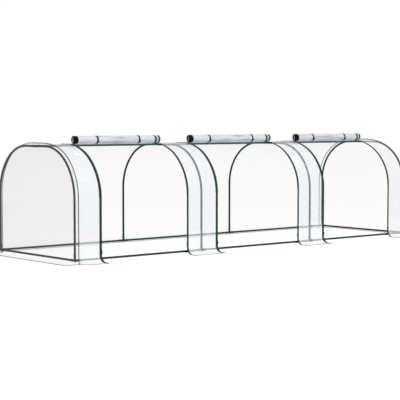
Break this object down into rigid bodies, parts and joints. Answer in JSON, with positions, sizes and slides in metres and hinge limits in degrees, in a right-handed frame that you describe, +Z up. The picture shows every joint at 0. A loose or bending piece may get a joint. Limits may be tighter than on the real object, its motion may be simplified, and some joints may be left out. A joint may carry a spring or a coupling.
{
  "type": "row cover tunnel",
  "caption": "Low tunnel of clear film over a hooped steel tube frame, with zipped windows rolled up along the near side.",
  "frame": {"origin": "on the ground under the middle of the tunnel", "axes": "+X along the ridge, +Y away from the windows, +Z up; the windows open on -Y"},
  "size_m": [3.7136, 1.2136, 0.9042],
  "materials": {
    "steel_tube": "dark green plastic-coated tube, satin",
    "joint_plastic": "moulded, satin",
    "clear_film": "clear soft film with a milky cast",
    "rolled_film": "clear film wound on itself, milky",
    "zip_tape": "woven tape with a moulded chain",
    "slider_metal": "black, semi-gloss",
    "strap_webbing": "woven, matt"
  },
  "bodies": {
    "frame_and_cover": {"hoop_1_near": "steel_tube", "hoop_1_far": "steel_tube", "hoop_2_near": "steel_tube", "hoop_2_far": "steel_tube", "hoop_3_near": "steel_tube", "hoop_3_far": "steel_tube", "hoop_4_near": "steel_tube", "hoop_4_far": "steel_tube", "ridge_tube_1": "steel_tube", "ridge_tube_2": "steel_tube", "ridge_tube_3": "steel_tube", "base_rail_near_1": "steel_tube", "base_rail_near_2": "steel_tube", "base_rail_near_3": "steel_tube", "base_rail_far_1": "steel_tube", "base_rail_far_2": "steel_tube", "base_rail_far_3": "steel_tube", "end_rail_left": "steel_tube", "end_rail_right": "steel_tube", "base_joint_near_1": "joint_plastic", "base_joint_near_2": "joint_plastic", "base_joint_near_3": "joint_plastic", "base_joint_near_4": "joint_plastic", "base_joint_far_1": "joint_plastic", "base_joint_far_2": "joint_plastic", "base_joint_far_3": "joint_plastic", "base_joint_far_4": "joint_plastic", "ridge_joint_1": "joint_plastic", "ridge_joint_2": "joint_plastic", "ridge_joint_3": "joint_plastic", "ridge_joint_4": "joint_plastic", "rear_sheet": "clear_film", "front_strip_1": "clear_film", "front_strip_2": "clear_film", "front_strip_3": "clear_film", "front_strip_4": "clear_film", "end_panel_left": "clear_film", "end_panel_right": "clear_film", "zip_1_left": "zip_tape", "zip_1_right": "zip_tape", "zip_2_left": "zip_tape", "zip_2_right": "zip_tape", "zip_3_left": "zip_tape", "zip_3_right": "zip_tape"},
    "window_1": {"window_roll_1": "rolled_film", "tie_strap_1_left": "strap_webbing", "tie_strap_1_right": "strap_webbing"},
    "slider_1_left": {"zip_slider_1_left": "slider_metal"},
    "slider_1_right": {"zip_slider_1_right": "slider_metal"},
    "window_2": {"window_roll_2": "rolled_film", "tie_strap_2_left": "strap_webbing", "tie_strap_2_right": "strap_webbing"},
    "slider_2_left": {"zip_slider_2_left": "slider_metal"},
    "slider_2_right": {"zip_slider_2_right": "slider_metal"},
    "window_3": {"window_roll_3": "rolled_film", "tie_strap_3_left": "strap_webbing", "tie_strap_3_right": "strap_webbing"},
    "slider_3_left": {"zip_slider_3_left": "slider_metal"},
    "slider_3_right": {"zip_slider_3_right": "slider_metal"}
  },
  "joints": [
    {"name": "window_1_unroll", "type": "hinge", "parent": "frame_and_cover", "child": "window_1", "pos_m": [0, -0.135, 0.462], "axis": [1, 0, 0], "range_deg": [0, 84]},
    {"name": "window_2_unroll", "type": "hinge", "parent": "frame_and_cover", "child": "window_2", "pos_m": [0, -0.135, 0.462], "axis": [1, 0, 0], "range_deg": [0, 84]},
    {"name": "window_3_unroll", "type": "hinge", "parent": "frame_and_cover", "child": "window_3", "pos_m": [0, -0.135, 0.462], "axis": [1, 0, 0], "range_deg": [0, 84]},
    {"name": "slider_1_left_travel", "type": "slide", "parent": "frame_and_cover", "child": "slider_1_left", "axis": [0, 0, 1], "range_m": [0, 0.33]},
    {"name": "slider_1_right_travel", "type": "slide", "parent": "frame_and_cover", "child": "slider_1_right", "axis": [0, 0, 1], "range_m": [0, 0.33]},
    {"name": "slider_2_left_travel", "type": "slide", "parent": "frame_and_cover", "child": "slider_2_left", "axis": [0, 0, 1], "range_m": [0, 0.33]},
    {"name": "slider_2_right_travel", "type": "slide", "parent": "frame_and_cover", "child": "slider_2_right", "axis": [0, 0, 1], "range_m": [0, 0.33]},
    {"name": "slider_3_left_travel", "type": "slide", "parent": "frame_and_cover", "child": "slider_3_left", "axis": [0, 0, 1], "range_m": [0, 0.33]},
    {"name": "slider_3_right_travel", "type": "slide", "parent": "frame_and_cover", "child": "slider_3_right", "axis": [0, 0, 1], "range_m": [0, 0.33]}
  ]
}
